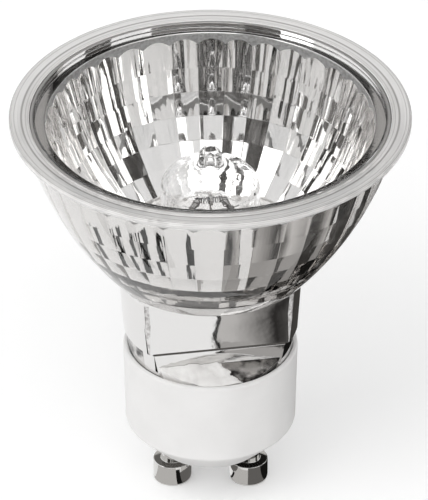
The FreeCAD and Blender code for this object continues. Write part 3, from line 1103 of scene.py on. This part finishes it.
# %% [markdown]
# A grid on each side is bent to fill the gap between the flat and the round lip, and takes its heights.
# It is then extruded down in two steps: to the foot of the lip's slope, and on to the floor of the cup.
# A Boolean of a disc and a block could fill the gap too, but it would leave no grid for the lumps.

# %% Heap the cement beside the flats
GRID_ACROSS = 90
GRID_DEEP = 20
least_depth = 0.1
half_chord = math.sqrt(lip_radius ** 2 - cement_flat ** 2)

heap = bmesh.new()
whole = {}
for side in (-1, 1):
    made = bmesh.ops.create_grid(heap, x_segments=GRID_ACROSS, y_segments=GRID_DEEP, size=1)["verts"]
    for vert in made:
        x = vert.co.x * half_chord
        wall = math.sqrt(max(cement_flat ** 2, lip_radius ** 2 - x * x))
        y = side * (cement_flat + (wall - cement_flat) * (vert.co.y + 1) / 2)
        height, whole[vert] = heap_height(x, y, side)
        vert.co = (x, y, height)
        stay_in_cup(vert)
# Faces where the cement broke away take the thin silvering, with its painted shade.
for face in heap.faces:
    face.material_index = 0 if max(whole[vert] for vert in face.verts) > 0.5 else 1
bmesh.ops.remove_doubles(heap, verts=heap.verts, dist=CLOSE)

lowered = bmesh.ops.extrude_face_region(heap, geom=heap.faces[:], use_keep_orig=True)["geom"]
for item in lowered:
    if isinstance(item, bmesh.types.BMVert):
        item.co.z = min(item.co.z - least_depth, chamfer_level)
        stay_in_cup(item)
undersides = [item for item in lowered if isinstance(item, bmesh.types.BMFace) and len(item.verts) == 4]
lowered = bmesh.ops.extrude_face_region(heap, geom=undersides)["geom"]
for item in lowered:
    if isinstance(item, bmesh.types.BMVert):
        item.co.z = cement_floor
bmesh.ops.recalc_face_normals(heap, faces=heap.faces)
print("heap of", len(heap.faces), "faces")

# %% [markdown]
# Below the neck the cement goes on as a ring, out of sight, and bonds the end of the spigot to the cup.
# It is spun, and cut off at the two heaps with bisecting planes.

# %% Add the bed under the neck
well_radius = 7.3
bed_overlap = 0.1

bed = spun([
    (well_radius, cement_floor),
    (cement_radius, cement_floor),
    (cement_radius, spigot_end - cement_gap),
    (well_radius, spigot_end - cement_gap),
], ROUND_STEPS, closed=True)
for side in (-1, 1):
    everything = bed.verts[:] + bed.edges[:] + bed.faces[:]
    bmesh.ops.bisect_plane(bed, geom=everything, plane_co=(0, side * (neck_flat - bed_overlap), 0),
                           plane_no=(0, side, 0), clear_outer=True)
bmesh.ops.holes_fill(bed, edges=[edge for edge in bed.edges if edge.is_boundary])
bmesh.ops.recalc_face_normals(bed, faces=bed.faces)
take_in(heap, bed)
sharpen(heap, 60)
turn_with_reflector(heap)
finish_piece(heap, "neck_cement", "cement", [cement, reflector_finishes[THIN_PAINTED_SHADE]], "base_cement")

# %% [markdown]
# ## Finishes of the solids that stay
# The wires, the foils and the cement in the neck are already the right shape, so they keep their solids.
# A solid takes a new finish by putting the material in its slots.

# %% Dress the solids
kept_finishes = {
    "capsule_cement": cement,
    "filament_support": molybdenum,
    "inner_lead_left": molybdenum,
    "inner_lead_right": molybdenum,
    "seal_foil_left": molybdenum,
    "seal_foil_right": molybdenum,
    "outer_lead_left": nickel_wire,
    "outer_lead_right": nickel_wire,
}
for name, material in kept_finishes.items():
    nodes[name].data.materials.clear()
    nodes[name].data.materials.append(material)
print("solids dressed:", len(kept_finishes))

# %% [markdown]
# ## The studio
# The lamp stands on white paper with white all round, as in a light tent.
# Paper that is lit plainly comes out a little grey, so it gets a small glow for rays that the eye follows.
# That glow lights nothing, and the paper still darkens where the lamp throws its shadow.

# %% Lay the paper
floor_lift = 0.12
floor_size = 3.0


def seen_rays(tree):
    """1 for rays that the eye follows, straight, by a mirror or through glass, and 0 for the others."""
    rays = add_node(tree, "ShaderNodeLightPath").outputs
    seen = rays["Is Camera Ray"]
    for kind in ("Is Glossy Ray", "Is Transmission Ray"):
        seen = add_node(tree, "ShaderNodeMath", {0: seen, 1: rays[kind]}, operation="MAXIMUM").outputs[0]
    return seen


def white_paper():
    """Matt white paper that the eye takes for pure white, and that still darkens in a shadow."""
    material, tree = new_material("paper_white_matt")
    place = add_node(tree, "ShaderNodeTexCoord").outputs["Object"]
    fibres = add_node(tree, "ShaderNodeTexNoise", {"Vector": place, "Scale": per_mm(30), "Detail": 2})
    tint = add_node(tree, "ShaderNodeValToRGB", {"Fac": fibres}, stops=[(0, "#fbfbfb"), (1, "#fdfdfd")])
    lift = add_node(tree, "ShaderNodeMapRange", {"Value": seen_rays(tree), 3: 0.0, 4: floor_lift})
    return shown(material, add_node(tree, "ShaderNodeBsdfPrincipled", {
        "Base Color": tint, "Roughness": 0.9, "Specular IOR Level": 0.0, "Emission Color": (1, 1, 1, 1),
        "Emission Strength": lift}))


floor_bm = bmesh.new()
bmesh.ops.create_circle(floor_bm, cap_ends=True, radius=floor_size, segments=96)
floor = bare_object(floor_bm, "floor")
floor.data.materials.append(white_paper())

# %% [markdown]
# The tent is the world itself: pure white to the eye, and a little weaker as a light, so that the ceramic
# keeps its own white and doesn't burn out.

# %% Put up the tent
ambient = 0.68

world = bpy.data.worlds.new("white_tent")
scene.world = world
world.use_nodes = True
tree = world.node_tree
tree.nodes.clear()
level = add_node(tree, "ShaderNodeMapRange", {"Value": seen_rays(tree), 3: ambient, 4: 1.0})
tent = add_node(tree, "ShaderNodeBackground", {"Color": (1, 1, 1, 1), "Strength": level})
add_node(tree, "ShaderNodeOutputWorld", {"Surface": tent})
print("tent lights at", ambient)

# %% [markdown]
# ## Flags
# Glass and mirrors only look like glass and mirrors if they have something dark to show. A photographer hangs
# flags for that: sheets of dark cloth round the tent, out of the picture.
# Each flag here is a grid that is bent to its place. It shows only in mirrors and through glass, and takes no
# light from the lamp. Its cloth gives back one even tone, or a run of tones round the lamp. Some of the flags
# on the floor are painted shadow and painted light, for the shade and light that the mirrors would show
# there.

# %% Cloth
def flag_cloth(name, shade):
    """Cloth that gives back one even tone, whatever light falls on it."""
    material, tree = new_material(name)
    return shown(material, add_node(tree, "ShaderNodeEmission", {"Color": colour(shade), "Strength": 1.0}))


def graded_cloth(name, shades):
    """Cloth whose tone runs round the lamp, given as pairs of azimuth and shade."""
    material, tree = new_material(name)
    place = add_node(tree, "ShaderNodeTexCoord").outputs["Object"]
    parts = add_node(tree, "ShaderNodeSeparateXYZ", {0: place}).outputs
    near = add_node(tree, "ShaderNodeMath", {0: parts["Y"], 1: -1.0}, operation="MULTIPLY")
    angle = add_node(tree, "ShaderNodeMath", {0: parts["X"], 1: near}, operation="ARCTAN2")
    first, last = shades[0][0], shades[-1][0]
    share = add_node(tree, "ShaderNodeMapRange", {"Value": angle, 1: math.radians(first),
                                                  2: math.radians(last)})
    ramp = add_node(tree, "ShaderNodeValToRGB", {"Fac": share},
                    stops=[((azimuth - first) / (last - first), shade) for azimuth, shade in shades])
    return shown(material, add_node(tree, "ShaderNodeEmission", {"Color": ramp, "Strength": 1.0}))


black_cloth = flag_cloth("cloth_black", "#1a1918")
dark_cloth = flag_cloth("cloth_dark", "#444240")
deep_cloth = flag_cloth("cloth_deep_grey", "#6e6c6a")
veil_cloth = flag_cloth("cloth_veil", "#a09e9c")
grey_cloth = flag_cloth("cloth_grey", "#b0aeac")
pale_cloth = flag_cloth("cloth_pale_grey", "#cfcdcb")
white_cloth = flag_cloth("cloth_white", "#ffffff")

# %% [markdown]
# A place in the studio is given as a photographer would say it: so far round from the camera, and so far up.
# Three kinds of flag cover what the lamp needs: bent round the tent, flat across the back, and on the floor.

# %% Three kinds of flag
FLAG_STEPS = 24
aim = Vector((0, 0, 30 * MM))


def towards(azimuth, elevation, distance):
    """A place round the lamp: azimuth 0 is the camera's side, 90 the right."""
    a, e = math.radians(azimuth), math.radians(elevation)
    return Vector((math.sin(a) * math.cos(e), -math.cos(a) * math.cos(e), math.sin(e))) * distance


def between(ends, share):
    """The value at this share of the way from the first end to the second."""
    return ends[0] + (ends[1] - ends[0]) * share


def flag(name, cloth, place):
    """A grid bent by a rule from two shares, 0 to 1, to a place. Only mirrors and glass show it."""
    bm = bmesh.new()
    bmesh.ops.create_grid(bm, x_segments=FLAG_STEPS, y_segments=8, size=0.5)
    for vert in bm.verts:
        vert.co = place(vert.co.x + 0.5, vert.co.y + 0.5)
    made = bare_object(bm, name)
    made.data.materials.append(cloth)
    made.visible_camera = False
    made.visible_diffuse = False
    made.visible_shadow = False


def upright_flag(name, cloth, azimuths, elevations, distance=0.7):
    """A flag bent round the tent, between these angles."""
    flag(name, cloth, lambda u, v: aim + towards(between(azimuths, u), between(elevations, v), distance))


def back_panel(name, cloth, across, heights, behind=120):
    """A flat flag across the back, between these sizes in millimetres."""
    flag(name, cloth, lambda u, v: Vector((between(across, u), behind, between(heights, v))) * MM)


def floor_flag(name, cloth, azimuths, radii, lift=0.2, centre=0.0):
    """A flag that lies on the floor round the lamp, or round a pin at this x, in millimetres."""
    off = Vector((centre, 0, lift)) * MM
    flag(name, cloth, lambda u, v: off + towards(between(azimuths, u), 0, between(radii, v) * MM))


# %% [markdown]
# The far flutes and the ledge look back over the lamp's shoulder, at the panels close behind it.
# Gaps in those panels keep the sides of the rim pale.
# The near flutes look towards the camera, where a camera, its stand and a boom would be.

# %% Hang the flags round the tent
upright_flag("back_flag", pale_cloth, (115, 218), (5, 70))
upright_flag("veil_flag", veil_cloth, (174, 186), (28, 39), distance=0.65)
upright_flag("boom_flag", deep_cloth, (-42, 40), (31, 36.5))
upright_flag("left_stand_flag", dark_cloth, (-48, -23), (-4, 66))
upright_flag("camera_flag", dark_cloth, (-23, 14), (9, 22))
upright_flag("camera_head_flag", dark_cloth, (-12, -7), (22, 29))
upright_flag("shoulder_flag", dark_cloth, (-29, -21), (22, 29))
upright_flag("right_stand_flag", dark_cloth, (70, 92), (-4, 42))

close_panels = [
    ((-60, -29), (95, 235)),
    ((-29, -23.5), (150, 235)),
    ((-23.5, 23.5), (95, 235)),
    ((23.5, 29), (95, 118)),
    ((23.5, 29), (150, 235)),
    ((29, 170), (60, 300)),
]
for number, (across, heights) in enumerate(close_panels):
    back_panel("close_back_flag_%d" % number, black_cloth, across, heights)
print("close panels:", len(close_panels))

# %% [markdown]
# The outside of the bowl and the neck look down, so what they show lies on the floor. The right half of the
# neck's flat shows a run of greys that ends in black, and that is one flag whose tone runs round the lamp.
# The grey and black flags right of the lamp and behind its base are painted shadow: the lamp's own shadow
# on the floor, as the mirrors show it.
# Where two flags overlap, the upper one is lifted a little, so that it is clear which of them shows.

# %% Lay the flags on the floor
graded = graded_cloth("cloth_graded", [(17.8, "#d2d0ce"), (21, "#cac8c6"), (25, "#969492"), (28, "#2a2827"),
                                       (40, "#a8a6a4"), (62, "#e0dedc"), (76, "#6a6866"),
                                       (90, "#1a1918"), (112, "#1a1918")])
floor_flag("graded_floor_flag", graded, (17.8, 112), (44, 90))
# Painted shadow of the lamp on the floor to its right and behind the base.
floor_flag("right_floor_painted_shadow", grey_cloth, (17, 78), (14, 44))
floor_flag("right_side_floor_painted_shadow", black_cloth, (78, 112), (14, 44))
floor_flag("base_floor_painted_shadow", black_cloth, (110, 170), (13, 34))
floor_flag("edge_floor_flag", black_cloth, (17.4, 18.2), (30, 70), lift=0.3)
# Painted shadow of the lamp on the floor to its right, as the neck shows it.
floor_flag("neck_floor_painted_shadow", dark_cloth, (80, 150), (34, 70), lift=0.3)
for number, azimuth in enumerate((-76, -55, -36)):
    floor_flag("left_floor_flag_%d" % number, black_cloth, (azimuth, azimuth + 7), (28, 64))

# %% [markdown]
# Each pin shows the floor right beside it: a white edge on the left, a pale front and a dark right side.
# The white edge is painted light on floor that lies in the shade of the base, and the dark right side is the
# pin's painted shadow, cast away from the key lamp on the left. The flat tops of the pins look up at the
# underside of the base, so two half discs hang there, deep grey and black: painted shade of that underside.

# %% Lay the flags round the pins
left_pin, right_pin = -pin_pitch / 2, pin_pitch / 2
under_base = 6.1
# Painted shade of the base's underside, as the flat tops of the pins show it.
floor_flag("left_under_base_painted_shade", deep_cloth, (-180, 0), (0.5, 9.5), lift=under_base)
floor_flag("right_under_base_painted_shade", black_cloth, (0, 180), (0.5, 9.5), lift=under_base)
# White edge flags are painted light; the deep grey and black flags right of each pin are its painted shadow.
floor_flag("left_pin_painted_light_edge", white_cloth, (-175, -78), (2.6, 10), lift=0.15, centre=left_pin)
floor_flag("left_pin_near_flag", pale_cloth, (-78, 17), (2.6, 10), lift=0.1, centre=left_pin)
floor_flag("left_pin_line_flag", black_cloth, (17, 36), (2.6, 7.4), lift=0.14, centre=left_pin)
floor_flag("left_pin_painted_shadow", deep_cloth, (36, 150), (2.6, 5.8), lift=0.14, centre=left_pin)
floor_flag("right_pin_painted_light_edge", white_cloth, (-175, -80), (2.6, 4.3), lift=0.15, centre=right_pin)
floor_flag("right_pin_side_flag", black_cloth, (-80, -68), (2.6, 4.3), lift=0.15, centre=right_pin)
floor_flag("right_pin_near_flag", pale_cloth, (-68, -3), (2.6, 7.4), lift=0.12, centre=right_pin)
floor_flag("right_pin_painted_shadow", deep_cloth, (-3, 60), (2.6, 10), lift=0.12, centre=right_pin)
floor_flag("right_pin_painted_dark_shadow", black_cloth, (60, 175), (2.6, 10), lift=0.12, centre=right_pin)

# %% [markdown]
# ## Lamps
# Three soft lamps give the ceramic its shading: one from the left, one from above the camera and a weak one
# from the top. One lamp would leave the right side too dark, and the tent alone would leave no shading.
# Light passes many walls of glass here and bounces between mirrors, so it may take more bounces than usual.

# %% Light the lamp
def soft_light(name, azimuth, elevation, distance, size, power):
    """A square soft lamp of this size in metres and power in watts, turned to the middle of the lamp."""
    data = bpy.data.lights.new(name, "AREA")
    data.shape = "SQUARE"
    data.size = size
    data.energy = power
    light = bpy.data.objects.new(name, data)
    light.location = aim + towards(azimuth, elevation, distance)
    light.rotation_euler = (aim - light.location).to_track_quat("-Z", "Y").to_euler()
    scene.collection.objects.link(light)


soft_light("key", azimuth=-50, elevation=45, distance=0.9, size=0.6, power=2.0)
soft_light("front", azimuth=-4, elevation=48, distance=1.0, size=0.7, power=1.9)
soft_light("top", azimuth=10, elevation=80, distance=1.0, size=0.8, power=0.5)

scene.view_settings.view_transform = "Standard"
scene.cycles.max_bounces = 48
scene.cycles.glossy_bounces = 32
scene.cycles.transmission_bounces = 48
print("lights:", len(bpy.data.lights))
